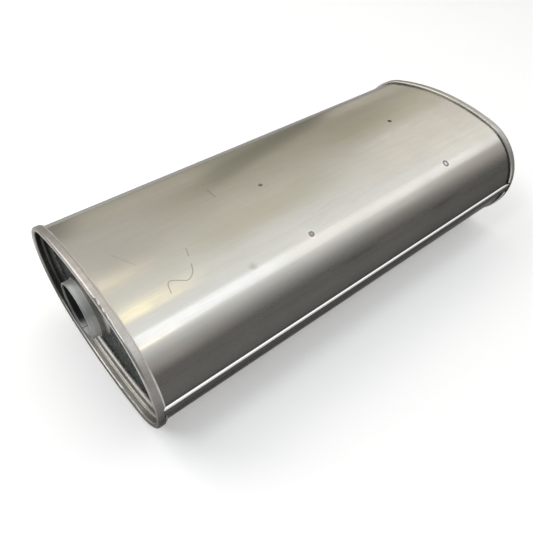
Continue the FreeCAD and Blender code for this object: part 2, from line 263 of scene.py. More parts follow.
class SteelEffects:
    """Node groups that several steels share, each built once."""

    grain_scale = 900.0
    coarse_scale = 0.22
    fine_share = 0.6
    grain_kept = Ramp(0.35, 0.65)
    wave_stretch = (0.6, 1.0, 1.0)
    waves_pattern = Pattern(scale=12.0, rough=0.35)
    clouds = Pattern(scale=22.0, detail=6.0, rough=0.62, kept=Ramp(0.32, 0.68))
    specks = Pattern(scale=950.0, rough=0.6, kept=Ramp(0.5, 0.72))
    streak_stretch = (0.12, 1.0, 1.0)
    streaks = Pattern(scale=190.0, detail=4.0, rough=0.6, kept=Ramp(0.52, 0.74))
    meshed_from_degrees = 6.5
    exact_to_degrees = 2.5
    line_width = 0.0005
    line_edge = Ramp(0.25, 1.0, 1.0, 0.0)

    def __init__(self, oval: Oval) -> None:
        """Build the groups.

        Args:
            oval: Outline of the shell.
        """
        self.grain = self.build_grain()
        self.waves = self.build_waves()
        self.handling = self.build_handling()
        self.round_body = self.build_round_body(oval)
        self.line = self.build_line()

    def build_grain(self) -> bpy.types.NodeTree:
        """Build the fine lines of a rolled sheet or a drawn tube.

        Returns:
            A group that gives a mask and a height.
        """
        inputs = {"Place": NO_POINT, "Stretch": Grain.NONE.value, "Scale": self.grain_scale}
        wiring, given, result = new_group("rolling_grain", inputs, {"Mask": "Float", "Height": "Float"})
        scale = given.outputs["Scale"]
        stretched = wiring.vector("MULTIPLY", given.outputs["Place"], given.outputs["Stretch"])
        fine = wiring.noise(stretched, scale)
        coarse = wiring.noise(stretched, wiring.times(scale, self.coarse_scale))
        both = wiring.math("MULTIPLY_ADD", fine, self.fine_share, wiring.times(coarse, 1.0 - self.fine_share))
        wiring.set(result.inputs["Mask"], wiring.ramp(both, self.grain_kept))
        wiring.set(result.inputs["Height"], both)
        return wiring.tree

    def build_waves(self) -> bpy.types.NodeTree:
        """Build the slow unevenness of thin sheet.

        Returns:
            A group that gives a height in metres.
        """
        inputs = {"Place": NO_POINT, "Depth": 0.0}
        wiring, given, result = new_group("sheet_waves", inputs, {"Height": "Float"})
        stretched = wiring.vector("MULTIPLY", given.outputs["Place"], self.wave_stretch)
        slow = wiring.noise(stretched, self.waves_pattern.scale, rough=self.waves_pattern.rough)
        wiring.set(result.inputs["Height"], wiring.times(slow, given.outputs["Depth"]))
        return wiring.tree

    def build_handling(self) -> bpy.types.NodeTree:
        """Build the marks of handling: broad clouds, small specks and faint rubbed streaks.

        Returns:
            A group that gives a mask of each.
        """
        outputs = {"Clouds": "Float", "Specks": "Float", "Streaks": "Float"}
        wiring, given, result = new_group("handling_marks", {"Place": NO_POINT}, outputs)
        place = given.outputs["Place"]
        long_way = wiring.vector("MULTIPLY", place, self.streak_stretch)
        wiring.set(result.inputs["Clouds"], wiring.mottle(place, self.clouds))
        wiring.set(result.inputs["Specks"], wiring.mottle(place, self.specks))
        wiring.set(result.inputs["Streaks"], wiring.mottle(long_way, self.streaks))
        return wiring.tree

    def build_round_body(self, oval: Oval) -> bpy.types.NodeTree:
        """Build the lie of a point on the oval body.

        Args:
            oval: Outline of the shell.

        Returns:
            A group that gives the exact outward normal wherever the meshed one is within a few
            degrees of it, how far the point stands proud of the shell's outside, how level the
            body is there, and how far the nearer rim is.
        """
        inputs = {"Place": NO_POINT, "Meshed": (0.0, 0.0, 1.0)}
        outputs = {"Normal": "Vector", "Proud": "Float", "Level": "Float", "From Rim": "Float"}
        wiring, given, result = new_group("round_body", inputs, outputs)
        meshed = given.outputs["Meshed"]
        parts = wiring.split(given.outputs["Place"])
        across = parts["Y"]
        up = wiring.math("SUBTRACT", parts["Z"], oval.centre_height)
        on_end = wiring.times(wiring.math("SIGN", across), oval.end_centre)
        from_side = wiring.math("MULTIPLY_ADD", wiring.math("SIGN", up), oval.side_centre, up)
        end_way = wiring.join(0.0, wiring.math("SUBTRACT", across, on_end), up)
        side_way = wiring.join(0.0, across, from_side)
        lean = wiring.math("DIVIDE", wiring.math("ABSOLUTE", across), wiring.math("ABSOLUTE", from_side))
        is_end = wiring.math("GREATER_THAN", lean, oval.end_centre / oval.side_centre)
        exact = wiring.vector("NORMALIZE", wiring.mix(Mixed.VECTOR, is_end, side_way, end_way))
        end_proud = wiring.math("SUBTRACT", wiring.length(end_way), oval.end_radius)
        side_proud = wiring.math("SUBTRACT", wiring.length(side_way), oval.side_radius)
        alike = wiring.vector("DOT_PRODUCT", exact, meshed, out="Value")
        unlike_from = math.cos(math.radians(self.meshed_from_degrees))
        alike_from = math.cos(math.radians(self.exact_to_degrees))
        near = wiring.ramp(alike, Ramp(unlike_from, alike_from))
        from_rim = wiring.math("SUBTRACT", oval.half_length, wiring.math("ABSOLUTE", parts["X"]))
        wiring.set(result.inputs["Normal"], wiring.mix(Mixed.VECTOR, near, meshed, exact))
        wiring.set(result.inputs["Proud"], wiring.mix(Mixed.FLOAT, is_end, side_proud, end_proud))
        wiring.set(result.inputs["Level"], wiring.math("ABSOLUTE", wiring.split(exact)["Z"]))
        wiring.set(result.inputs["From Rim"], from_rim)
        return wiring.tree

    def build_line(self) -> bpy.types.NodeTree:
        """Build a thin straight mark between two points.

        Returns:
            A group that gives a mask.
        """
        inputs = {"Place": NO_POINT, "Start": NO_POINT, "Finish": NO_POINT, "Width": self.line_width}
        wiring, given, result = new_group("line_mark", inputs, {"Mask": "Float"})
        start = given.outputs["Start"]
        run = wiring.vector("SUBTRACT", given.outputs["Finish"], start)
        out = wiring.vector("SUBTRACT", given.outputs["Place"], start)
        along = wiring.vector("DOT_PRODUCT", out, run, out="Value")
        whole = wiring.vector("DOT_PRODUCT", run, run, out="Value")
        share = wiring.put("ShaderNodeMath", {0: along, 1: whole}, operation="DIVIDE", use_clamp=True)
        nearest = wiring.shade(run, share.outputs[0])
        gap = wiring.vector("DISTANCE", out, nearest, out="Value")
        ratio = wiring.math("DIVIDE", gap, given.outputs["Width"])
        wiring.set(result.inputs["Mask"], wiring.ramp(ratio, self.line_edge))
        return wiring.tree


@dataclass
class Surface:
    """Sockets of a steel while it is being laid."""

    wiring: Wiring
    place: Socket
    meshed: Socket
    normal: Socket
    colour: Socket
    rough: Socket
    height: Socket

    def tint(self, share: object, colour: object) -> None:
        """Blend a colour over what is there."""
        self.colour = self.wiring.mix(Mixed.RGBA, share, self.colour, colour)

    def darken(self, share: object, factor: float) -> None:
        """Darken where a mask is 1, by a factor; above 1 it lightens."""
        change = self.wiring.math("MULTIPLY_ADD", share, factor - 1.0, 1.0)
        self.colour = self.wiring.shade(self.colour, change)

    def roughen(self, share: object, rough: float) -> None:
        """Set the roughness where a mask is 1."""
        self.rough = self.wiring.mix(Mixed.FLOAT, share, self.rough, rough)

    def add_rough(self, share: object, more: float) -> None:
        """Add to the roughness where a mask is 1."""
        self.rough = self.wiring.math("MULTIPLY_ADD", share, more, self.rough)

    def raise_by(self, share: object, metres: float) -> None:
        """Raise the surface where a mask is 1."""
        self.height = self.wiring.math("MULTIPLY_ADD", share, metres, self.height)

    def lie(self, effects: SteelEffects) -> bpy.types.bpy_prop_collection:
        """Find where the surface lies on the body, and take over the exact normal.

        Args:
            effects: Shared node groups.

        Returns:
            The outputs of the round body, by name.
        """
        body = self.wiring.use(effects.round_body, {"Place": self.place, "Meshed": self.meshed})
        self.normal = body["Normal"]
        return body


@dataclass(frozen=True)
class SteelFinish:
    """Bare sheet steel as it leaves the press."""

    name: str
    light: Colour
    dark: Colour
    smooth: float
    rough: float
    grain: Grain = Grain.ALONG_BODY
    grain_depth: float = 0.0000025
    grain_shade: float = 0.97
    grain_rough: float = 0.04
    wave_depth: float = 0.00012
    speckle: float = 0.0
    streak: float = 0.0

    def lay(self, material: bpy.types.Material, effects: SteelEffects) -> Surface:
        """Lay the nodes of the plain steel.

        Args:
            material: Material to fill.
            effects: Shared node groups.

        Returns:
            The surface that a finish may add to.
        """
        material.use_nodes = True
        material.node_tree.nodes.clear()
        wiring = Wiring(material.node_tree)
        place = wiring.put("ShaderNodeTexCoord").outputs["Object"]
        meshed = wiring.put("ShaderNodeNewGeometry").outputs["Normal"]
        grain = wiring.use(effects.grain, {"Place": place, "Stretch": self.grain.value})
        marks = wiring.use(effects.handling, {"Place": place})
        waves = wiring.use(effects.waves, {"Place": place, "Depth": self.wave_depth})
        colour = wiring.mix(Mixed.RGBA, marks["Clouds"], self.dark, self.light)
        height = wiring.math("MULTIPLY_ADD", grain["Height"], self.grain_depth, waves["Height"])
        rough = wiring.span(marks["Clouds"], 0.0, 1.0, self.rough, self.smooth)
        surface = Surface(wiring, place, meshed, meshed, colour, rough, height)
        surface.darken(grain["Mask"], self.grain_shade)
        surface.add_rough(grain["Mask"], self.grain_rough)
        if self.speckle:
            surface.darken(marks["Specks"], 1.0 - self.speckle)
        if self.streak:
            surface.darken(marks["Streaks"], 1.0 - self.streak)
        return surface

    def add_marks(self, surface: Surface, effects: SteelEffects) -> None:
        """Add what only this finish has; plain steel has nothing more."""

    def build(self, effects: SteelEffects) -> bpy.types.Material:
        """Make the finished material.

        Args:
            effects: Shared node groups.

        Returns:
            The material.
        """
        made = bpy.data.materials.new(self.name)
        surface = self.lay(made, effects)
        self.add_marks(surface, effects)
        wiring = surface.wiring
        relief = {"Height": surface.height, "Normal": surface.normal, "Distance": 1.0}
        bump = wiring.put("ShaderNodeBump", relief)
        values = {"Base Color": surface.colour, "Roughness": surface.rough, "Normal": bump.outputs[0]}
        values.update({"Metallic": 1.0, "Specular Tint": GRAZING_TINT})
        shader = wiring.put("ShaderNodeBsdfPrincipled", values)
        wiring.put("ShaderNodeOutputMaterial", {"Surface": shader.outputs[0]})
        return made


@dataclass(frozen=True)
class WeldMark:
    """Heat tint of one spot weld: a dull core, a burnt ring and a pale halo round the dent.

    The ramps go by the distance from the weld as a share of its radius.
    """

    x_mm: float
    y_mm: float
    radius_mm: float
    core: Colour
    ring: Colour
    halo: float
    wander_scale: float = 700.0
    wander: float = 0.5
    halo_fade: Ramp = Ramp(1.2, 2.1, 1.0, 0.0)
    ring_share: Ramp = Ramp(1.1, 1.45, 0.8, 0.0)
    core_share: Ramp = Ramp(0.55, 0.95, 0.92, 0.0)
    dull_and_shade: Ramp = Ramp(0.9, 1.4, 1.0, 0.0)
    rough: float = 0.45

    def lay(self, surface: Surface, folded: Socket, oval: Oval) -> None:
        """Tint the surface round the weld.

        Args:
            surface: The steel being laid.
            folded: Place with the lower half of the body turned over onto the upper.
            oval: Outline of the shell.
        """
        wiring = surface.wiring
        gap = wiring.vector("DISTANCE", folded, oval.top_at(self.x_mm, self.y_mm), out="Value")
        wander = wiring.times(wiring.noise(surface.place, self.wander_scale), self.wander)
        ratio = wiring.math("ADD", wiring.math("DIVIDE", gap, self.radius_mm * MILLIMETRE), wander)
        surface.darken(wiring.ramp(ratio, self.halo_fade), 1.0 + self.halo)
        surface.tint(wiring.ramp(ratio, self.ring_share), self.ring)
        surface.tint(wiring.ramp(ratio, self.core_share), self.core)
        surface.roughen(wiring.ramp(ratio, self.dull_and_shade), self.rough)


@dataclass(frozen=True)
class Scratch:
    """Thin mark on the top of the shell, through points given in millimetres along and across it."""

    points: tuple[tuple[float, float], ...]
    width_mm: float
    strength: float
    colour: Colour

    def lay(self, surface: Surface, effects: SteelEffects, oval: Oval) -> None:
        """Draw the mark on the surface.

        Args:
            surface: The steel being laid.
            effects: Shared node groups.
            oval: Outline of the shell.
        """
        wiring = surface.wiring
        mask = 0.0
        for start, finish in zip(self.points, self.points[1:]):
            ends = {"Start": oval.top_at(*start), "Finish": oval.top_at(*finish)}
            values = {"Place": surface.place, "Width": self.width_mm * MILLIMETRE, **ends}
            mask = wiring.math("MAXIMUM", mask, wiring.use(effects.line, values)["Mask"])
        surface.tint(wiring.times(mask, self.strength), self.colour)


@dataclass(frozen=True)
class Smudge:
    """Soft rubbed place on the shell, with a ragged edge."""

    centre_mm: Point
    half_mm: Point
    factor: float
    rough: float
    ragged_scale: float = 160.0
    ragged_detail: float = 3.0
    ragged: float = 0.8
    edge: Ramp = Ramp(0.7, 1.5, 1.0, 0.0)

    def lay(self, surface: Surface) -> None:
        """Dull the surface there.

        Args:
            surface: The steel being laid.
        """
        wiring = surface.wiring
        centre = tuple(part * MILLIMETRE for part in self.centre_mm)
        out = wiring.vector("SUBTRACT", surface.place, centre)
        shares = wiring.vector("DIVIDE", out, tuple(part * MILLIMETRE for part in self.half_mm))
        cloud = wiring.noise(surface.place, self.ragged_scale, self.ragged_detail)
        ratio = wiring.math("MULTIPLY_ADD", cloud, self.ragged, wiring.length(shares))
        mask = wiring.ramp(ratio, self.edge)
        surface.darken(mask, self.factor)
        surface.roughen(mask, self.rough)


@dataclass(frozen=True)
class ShellFinish(SteelFinish):
    """The wrapped sheet's steel.

    Painted shade darkens it where it turns down round the tight sides and low down, less on the back,
    and a painted highlight lightens the upward face of the lock seam's ridge; it also carries weld
    tints, scratches and smudges. The ramps side, back and low go by how level the body is,
    near_side by the place across it, and ridge by how far it stands proud.
    """

    oval: Oval = Oval()
    welds: tuple[WeldMark, ...] = ()
    scratches: tuple[Scratch, ...] = ()
    smudges: tuple[Smudge, ...] = ()
    # Colour of the painted highlight on the seam's ridge.
    ridge_highlight: Colour = (0.88, 0.87, 0.85)
    ridge: Ramp = Ramp(0.0003, 0.0008)
    ridge_upward: Ramp = Ramp(0.2, 0.5)
    near_side: Ramp = Ramp(-0.03, 0.03, 1.0, 0.0)
    side: Ramp = Ramp(0.48, 0.83, 1.0, 0.0)
    side_shade: float = 0.36
    side_rough: float = 0.1
    back: Ramp = Ramp(0.84, 0.925, 0.72, 0.0)
    low: Ramp = Ramp(0.38, 0.585, 1.0, 0.0)
    low_shade: float = 0.5

    def add_marks(self, surface: Surface, effects: SteelEffects) -> None:
        """Add the true round normal, the painted shade on the sides, the painted highlight on the ridge and
        the marks.

        Args:
            surface: The steel being laid.
            effects: Shared node groups.
        """
        wiring = surface.wiring
        body = surface.lie(effects)
        upward = wiring.ramp(wiring.split(surface.meshed)["Z"], self.ridge_upward)
        ridge = wiring.times(wiring.ramp(body["Proud"], self.ridge), upward)
        elsewhere = wiring.rest(ridge)
        # Painted shade: the colour darkens as the body turns from level, most on the near side and low down;
        # the same mask also roughens it.
        near = wiring.ramp(wiring.split(surface.place)["Y"], self.near_side)
        side = wiring.ramp(body["Level"], self.side)
        back = wiring.ramp(body["Level"], self.back)
        dull_and_shade = wiring.times(wiring.mix(Mixed.FLOAT, near, back, side), elsewhere)
        low = wiring.times(wiring.ramp(body["Level"], self.low), near)
        surface.darken(dull_and_shade, self.side_shade)
        surface.darken(wiring.times(low, elsewhere), self.low_shade)
        surface.add_rough(dull_and_shade, self.side_rough)
        # Painted highlight: the upward face of the seam's ridge takes a pale colour.
        surface.tint(ridge, self.ridge_highlight)
        folded = self.fold(surface)
        for weld in self.welds:
            weld.lay(surface, folded, self.oval)
        for scratch in self.scratches:
            scratch.lay(surface, effects, self.oval)
        for smudge in self.smudges:
            smudge.lay(surface)

    def fold(self, surface: Surface) -> Socket:
        """Turn the lower half of the body over onto the upper, about the body's axis.

        Args:
            surface: The steel being laid.

        Returns:
            The place on the upper half.
        """
        wiring = surface.wiring
        parts = wiring.split(surface.place)
        up = wiring.math("SUBTRACT", parts["Z"], self.oval.centre_height)
        across = wiring.times(parts["Y"], wiring.math("SIGN", up))
        lifted = wiring.math("ADD", wiring.math("ABSOLUTE", up), self.oval.centre_height)
        return wiring.join(parts["X"], across, lifted)


@dataclass(frozen=True)
class HeadFinish(SteelFinish):
    """A pressed head's steel.

    It has a satin rolled band with painted shade on its flanks and a painted highlight line at its
    foot, a painted highlight on the lip, a shaded under side, painted shade on the recess wall and a
    speckled panel darkened by painted shade. The ramps outside and recess go by how many millimetres
    the surface stands proud; lip_share, edge and those named depth by its millimetres from the rim;
    side by how level the body is, under by the height, near_side and recess_shade by the place across.
    """

    band: Colour = (0.50, 0.47, 0.45)
    # Colour of the painted highlight along the lip.
    lip: Colour = (0.66, 0.64, 0.61)
    # Colour of the painted highlight line along the band's foot.
    foot: Colour = (0.78, 0.77, 0.75)
    # Colour of the painted shade on the deep panel.
    panel: Colour = (0.088, 0.094, 0.092)
    outside: Ramp = Ramp(0.2, 0.6)
    band_share: float = 0.85
    band_rough: float = 0.36
    wrinkle_scale: float = 520.0
    wrinkle_shade: float = 0.86
    wrinkle_height: float = 0.000012
    side: Ramp = Ramp(0.1, 0.8, 1.0, 0.0)
    side_shade: float = 0.42
    near_side: Ramp = Ramp(-0.03, 0.03, 1.0, 0.4)
    lip_share: Ramp = Ramp(0.15, 0.7, 0.5, 0.0)
    edge: Ramp = Ramp(0.6, 1.4, 1.0, 0.0)
    under: Ramp = Ramp(0.045, 0.085, 1.0, 0.0)
    under_shade: float = 0.42
    foot_near_depth: Ramp = Ramp(6.35, 6.85)
    foot_far_depth: Ramp = Ramp(7.55, 8.05, 1.0, 0.0)
    foot_share: float = 0.85
    recess: Ramp = Ramp(-0.9, -0.5, 1.0, 0.0)
    wall_depth: Ramp = Ramp(0.5, 2.5)
    wall_rough: float = 0.42
    # Painted shade on the recess wall, by the place across.
    recess_shade: Ramp = Ramp(0.01, 0.07)
    wall_shade: float = 0.15
    panel_depth: Ramp = Ramp(11.8, 13.2)
    panel_mottle: Pattern = Pattern(scale=450.0, rough=0.75, kept=Ramp(0.4, 0.64, 0.42, 2.6))
    panel_rough: float = 0.5

    def add_marks(self, surface: Surface, effects: SteelEffects) -> None:
        """Add the looks of the band, the lip, the wall and the panel.

        Args:
            surface: The steel being laid.
            effects: Shared node groups.
        """
        wiring = surface.wiring
        body = surface.lie(effects)
        depth = wiring.math("DIVIDE", body["From Rim"], MILLIMETRE)
        proud = wiring.math("DIVIDE", body["Proud"], MILLIMETRE)
        parts = wiring.split(surface.place)
        outside = wiring.ramp(proud, self.outside)
        grain = {"Place": surface.place, "Stretch": Grain.ACROSS_RIM.value, "Scale": self.wrinkle_scale}
        wrinkled = wiring.times(outside, wiring.use(effects.grain, grain)["Mask"])
        surface.tint(wiring.times(outside, self.band_share), self.band)
        surface.darken(wrinkled, self.wrinkle_shade)
        surface.raise_by(wrinkled, self.wrinkle_height)
        surface.roughen(outside, self.band_rough)
        # Painted shade: the band darkens as it turns from level, less on the back.
        side = wiring.times(wiring.ramp(body["Level"], self.side), wiring.ramp(parts["Y"], self.near_side))
        surface.darken(wiring.times(side, outside), self.side_shade)
        # Painted highlight: a lighter colour along the lip.
        surface.tint(wiring.ramp(depth, self.lip_share), self.lip)
        edge = wiring.math("MAXIMUM", outside, wiring.ramp(depth, self.edge))
        surface.darken(wiring.times(edge, wiring.ramp(parts["Z"], self.under)), self.under_shade)
        # Painted highlight: a pale line along the band's foot.
        foot = wiring.times(wiring.ramp(depth, self.foot_near_depth), wiring.ramp(depth, self.foot_far_depth))
        surface.tint(wiring.times(wiring.times(foot, outside), self.foot_share), self.foot)
        wall = wiring.times(wiring.ramp(proud, self.recess), wiring.ramp(depth, self.wall_depth))
        # Painted shade: the recess wall is darkened on its +Y side.
        surface.darken(wiring.times(wall, wiring.ramp(parts["Y"], self.recess_shade)), self.wall_shade)
        surface.roughen(wall, self.wall_rough)
        # Painted shade: the deep panel takes a near-black colour, speckled.
        inside = wiring.ramp(depth, self.panel_depth)
        surface.tint(inside, wiring.shade(self.panel, wiring.mottle(surface.place, self.panel_mottle)))
        surface.roughen(inside, self.panel_rough)


@dataclass(frozen=True)
class NeckFinish(SteelFinish):
    """A pipe socket's steel.

    Its bore carries painted shade, left out at its foot, where the short dark line of the tube's own
    seam shows, and its cut end is darker. The ramp seam goes by the distance from that line, bore by
    the distance from the axis, unshaded_foot by the place below the axis, and the rest from the cut
    end.
    """

    offset: float = 0.01905
    seam_angle: float = 7.0
    bore_radius: float = 0.02565
    axis_height: float = 0.0659
    reach: float = 0.2306
    seam: Ramp = Ramp(0.0002, 0.0006, 1.0, 0.0)
    seam_fade: Ramp = Ramp(0.004, 0.02, 1.0, 0.4)
    seam_shade: float = 0.2
    bore: Ramp = Ramp(0.02585, 0.02615, 1.0, 0.0)
    bore_rough: float = 0.5
    # Colour of the painted shade in the bore.
    recess_shade: Colour = (0.015, 0.015, 0.016)
    bore_shade_share: float = 0.96
    bore_shade_rise: Ramp = Ramp(0.0002, 0.002)
    unshaded_foot: Ramp = Ramp(0.013, 0.02565)
    unshaded_lean: float = -0.75
    unshaded_fade: Ramp = Ramp(0.012, 0.03, 1.0, 0.0)
    cut_end: Ramp = Ramp(0.0003, 0.0012, 1.0, 0.0)
    cut_shade: float = 0.5

    def add_marks(self, surface: Surface, effects: SteelEffects) -> None:
        """Add the seam line, the painted shade in the bore with its unshaded foot and the dark cut end.

        Args:
            surface: The steel being laid.
            effects: Shared node groups; not used here.
        """
        wiring = surface.wiring
        angle = math.radians(self.seam_angle)
        parts = wiring.split(surface.place)
        from_end = wiring.math("SUBTRACT", self.reach, wiring.math("ABSOLUTE", parts["X"]))
        aside = wiring.math("SUBTRACT", parts["Y"], self.offset)
        drop = wiring.math("SUBTRACT", self.axis_height, parts["Z"])
        side_gap = wiring.math("SUBTRACT", aside, self.bore_radius * math.sin(angle))
        drop_gap = wiring.math("SUBTRACT", drop, self.bore_radius * math.cos(angle))
        seam = wiring.ramp(wiring.length(wiring.join(0.0, side_gap, drop_gap)), self.seam)
        surface.darken(wiring.times(seam, wiring.ramp(from_end, self.seam_fade)), self.seam_shade)
        inside = wiring.ramp(wiring.length(wiring.join(0.0, aside, drop)), self.bore)
        surface.roughen(inside, self.bore_rough)
        # Painted shade: the bore turns near black inward from the cut end, except at its foot.
        unshaded_foot = wiring.ramp(wiring.math("MULTIPLY_ADD", aside, self.unshaded_lean, drop), self.unshaded_foot)
        unshaded_foot = wiring.times(unshaded_foot, wiring.ramp(from_end, self.unshaded_fade))
        bore_shade = wiring.times(wiring.times(inside, wiring.rest(unshaded_foot)), wiring.ramp(from_end, self.bore_shade_rise))
        surface.tint(wiring.times(bore_shade, self.bore_shade_share), self.recess_shade)
        surface.darken(wiring.ramp(from_end, self.cut_end), self.cut_shade)


def aimed(place: Point, target: Point, roll: float = 0.0) -> Matrix:
    """Pose of a camera or light that looks at a point.

    Args:
        place: Where it stands.
        target: Point that it looks at.
        roll: Turn about its own line of sight, in radians.

    Returns:
        The pose in the world.
    """
    look = Vector(target) - Vector(place)
    turn = look.to_track_quat("-Z", "Y").to_matrix() @ Matrix.Rotation(roll, 3, "Z")
    return Matrix.Translation(place) @ turn.to_4x4()


@dataclass
class PhotoCamera:
    """Camera at the photograph's viewing angle."""

    place: Point = (-0.2905, -0.2992, 0.4000)
    target: Point = (-0.0708, -0.0395, 0.0659)
    roll: float = 0.0185
    focal_pixels: float = 514.4
    nearest: float = 0.01

    def build(self) -> bpy.types.Object:
        """Make it the scene's camera.

        Returns:
            The camera.
        """
        data = bpy.data.cameras.new("photo_camera")
        data.sensor_width = SENSOR_WIDTH
        data.sensor_fit = "HORIZONTAL"
        data.lens = self.focal_pixels / PHOTO_SIDE * SENSOR_WIDTH
        data.clip_start = self.nearest
        camera = bpy.data.objects.new("photo_camera", data)
        bpy.context.scene.collection.objects.link(camera)
        camera.matrix_world = aimed(self.place, self.target, self.roll)
        bpy.context.scene.camera = camera
        log.info("camera set")
        return camera


@dataclass
class Softbox:
    """Rectangular soft light; at a tone of 1 its face is as bright as white paper in full light."""

    name: str
    place: Point
    size: tuple[float, float]
    tone: float
    colour: Colour
    aim: Point = (0.0, 0.0, 0.06)

    def build(self) -> bpy.types.Object:
        """Hang the light and turn it to its aim.

        Returns:
            The light.
        """
        data = bpy.data.lights.new(self.name, "AREA")
        data.shape = "RECTANGLE"
        data.size, data.size_y = self.size
        data.energy = self.tone * math.pi * self.size[0] * self.size[1]
        data.color = self.colour
        lamp = bpy.data.objects.new(self.name, data)
        bpy.context.scene.collection.objects.link(lamp)
        lamp.matrix_world = aimed(self.place, self.aim)
        log.info("hung %s", self.name)
        return lamp


@dataclass(frozen=True)
class RoomPatch:
    """Soft-edged part of the room round the object.

    The middle and the half size are pairs. Their first number is an angle from straight up towards
    -Y, in degrees, and the second a reach, the share of a direction that goes along +X. The slant
    is how far the angle moves from the middle to the end of the reach.
    """

    name: str
    middle: tuple[float, float]
    half: tuple[float, float]
    soft: float
    tone: float
    tint: Colour
    slant: float = 0.0

    @property
    def colour(self) -> Colour:
        """Light that the patch sends out."""
        return tuple(self.tone * part for part in self.tint)

    @property
    def values(self) -> dict[str, float]:
        """Its shape, by the inputs of the patch group."""
        angle = {"Middle Angle": self.middle[0], "Half Angle": self.half[0]}
        reach = {"Middle Reach": self.middle[1], "Half Reach": self.half[1]}
        return {**angle, **reach, "Slant": self.slant, "Softness": self.soft}


@dataclass
class Studio:
    """Plain pale floor, soft lights and the dim room round them.

    The ramps ceiling_rise and near_fall go by the angle of a direction, dark_fade and bright_rise
    by its reach, as with the room's patches.
    """

    floor_side: float = 30.0
    floor_shade: float = 0.95
    floor_rough: float = 0.9
    floor_glow: float = 0.15
    floor_mottle: Pattern = Pattern(scale=3.0, detail=4.0, kept=Ramp(0.3, 0.7, 0.985, 1.0))
    far_wall: Colour = (0.627, 0.60, 0.49)
    ceiling: Colour = (1.14, 1.17, 1.17)
    ceiling_rise: Ramp = Ramp(-65.0, 5.0)
    near_wall: Colour = (0.35, 0.35, 0.35)
    near_fall: Ramp = Ramp(15.0, 95.0)
    dark_end: Colour = (0.22, 0.22, 0.225)
    dark_fade: Ramp = Ramp(-0.4, 0.05, 1.0, 0.0)
    bright_end: Colour = (0.55, 0.53, 0.50)
    bright_rise: Ramp = Ramp(0.86, 0.97)

    def build_floor(self) -> bpy.types.Object:
        """Lay the floor of pale paper.

        Returns:
            The floor.
        """
        bpy.ops.mesh.primitive_plane_add(size=self.floor_side, location=(0, 0, 0))
        floor = bpy.context.object
        floor.name = "floor"
        made = bpy.data.materials.new("floor_paper")
        made.use_nodes = True
        made.node_tree.nodes.clear()
        wiring = Wiring(made.node_tree)
        place = wiring.put("ShaderNodeTexCoord").outputs["Object"]
        colour = wiring.shade((self.floor_shade,) * 3, wiring.mottle(place, self.floor_mottle))
        paper = {"Base Color": colour, "Roughness": self.floor_rough}
        shader = wiring.put("ShaderNodeBsdfPrincipled", paper)
        rays = wiring.put("ShaderNodeLightPath").outputs
        seen = wiring.math("MAXIMUM", rays["Is Camera Ray"], rays["Is Glossy Ray"])
        seen = wiring.math("MAXIMUM", seen, rays["Is Transmission Ray"])
        glow = wiring.put("ShaderNodeEmission", {"Strength": wiring.times(seen, self.floor_glow)})
        both = wiring.put("ShaderNodeAddShader", {0: shader.outputs[0], 1: glow.outputs[0]})
        wiring.put("ShaderNodeOutputMaterial", {"Surface": both.outputs[0]})
        floor.data.materials.append(made)
        log.info("laid the floor")
        return floor

    def far_patches(self) -> tuple[RoomPatch, ...]:
        """What the top of the shell shows of the room beyond its far side.

        Returns:
            The patches, each laid over those before it.
        """
        olive, tan, cream = (1.02, 1, 0.82), (1.03, 1, 0.82), (1.045, 1, 0.935)
        return (
            RoomPatch("grey_corner", (-86, 0.13), (24, 0.06), soft=0.35, tone=0.36, tint=(1.06, 1, 0.95)),
            RoomPatch("pale_wedge", (-88, 0.31), (20, 0.12), soft=0.25, tone=0.74, tint=(1.03, 1, 0.85)),
            RoomPatch("dark_beam", (-75, 0.56), (8, 0.13), soft=0.4, tone=0.4, tint=olive, slant=1.4),
            RoomPatch("far_panel", (-81, 0.73), (9, 0.08), soft=0.3, tone=1.15, tint=(1.05, 1, 0.88)),
            RoomPatch("dark_rail", (-71.6, 0.7), (1.3, 0.06), soft=0.6, tone=0.48, tint=tan, slant=-2.4),
            RoomPatch("olive_box", (-54, 0.72), (5, 0.07), soft=0.3, tone=0.57, tint=(1.05, 1, 0.75)),
            RoomPatch("left_grey", (-50, 0.15), (18, 0.17), soft=0.4, tone=0.69, tint=(1.02, 1, 0.92)),
            RoomPatch("far_lift", (-58, 0.82), (18, 0.09), soft=0.7, tone=0.92, tint=(1.04, 1, 0.86)),
            RoomPatch("olive_wall", (-31, 0.49), (9, 0.12), soft=0.5, tone=0.76, tint=(1.03, 1, 0.84)),
            RoomPatch("pale_sweep", (-30, 0.8), (14, 0.12), soft=0.35, tone=1.08, tint=cream, slant=0.4),
            RoomPatch("far_ceiling", (-4, 0.82), (16, 0.06), soft=0.5, tone=1.26, tint=(1.03, 1, 0.94)),
        )

    def near_patches(self) -> tuple[RoomPatch, ...]:
        """What the near shoulder shows of the room, and the warm lamps over it.

        Returns:
            The patches, laid over the far ones.
        """
        return (
            RoomPatch("near_flank_glow", (72, 0.2), (10, 0.1), soft=0.6, tone=0.8, tint=(1.06, 1, 0.96)),
            RoomPatch("warm_lamp", (-12.5, 0.22), (3.5, 0.09), soft=0.5, tone=1.75, tint=(1.075, 1, 0.74)),
            RoomPatch("warm_glow", (-31.5, 0.20), (3.0, 0.06), soft=0.7, tone=1.25, tint=(1.08, 1, 0.82)),
            RoomPatch("warm_strip", (36, 0.20), (1.2, 0.06), soft=0.6, tone=2.2, tint=(1.1, 1, 0.7)),
            RoomPatch("far_flank_dim", (68, 0.74), (11, 0.14), soft=0.5, tone=0.44, tint=(1.04, 1, 0.96)),
            RoomPatch("dim_far_side", (52, 0.86), (16, 0.12), soft=0.5, tone=0.58, tint=(1.06, 1, 0.96)),
        )

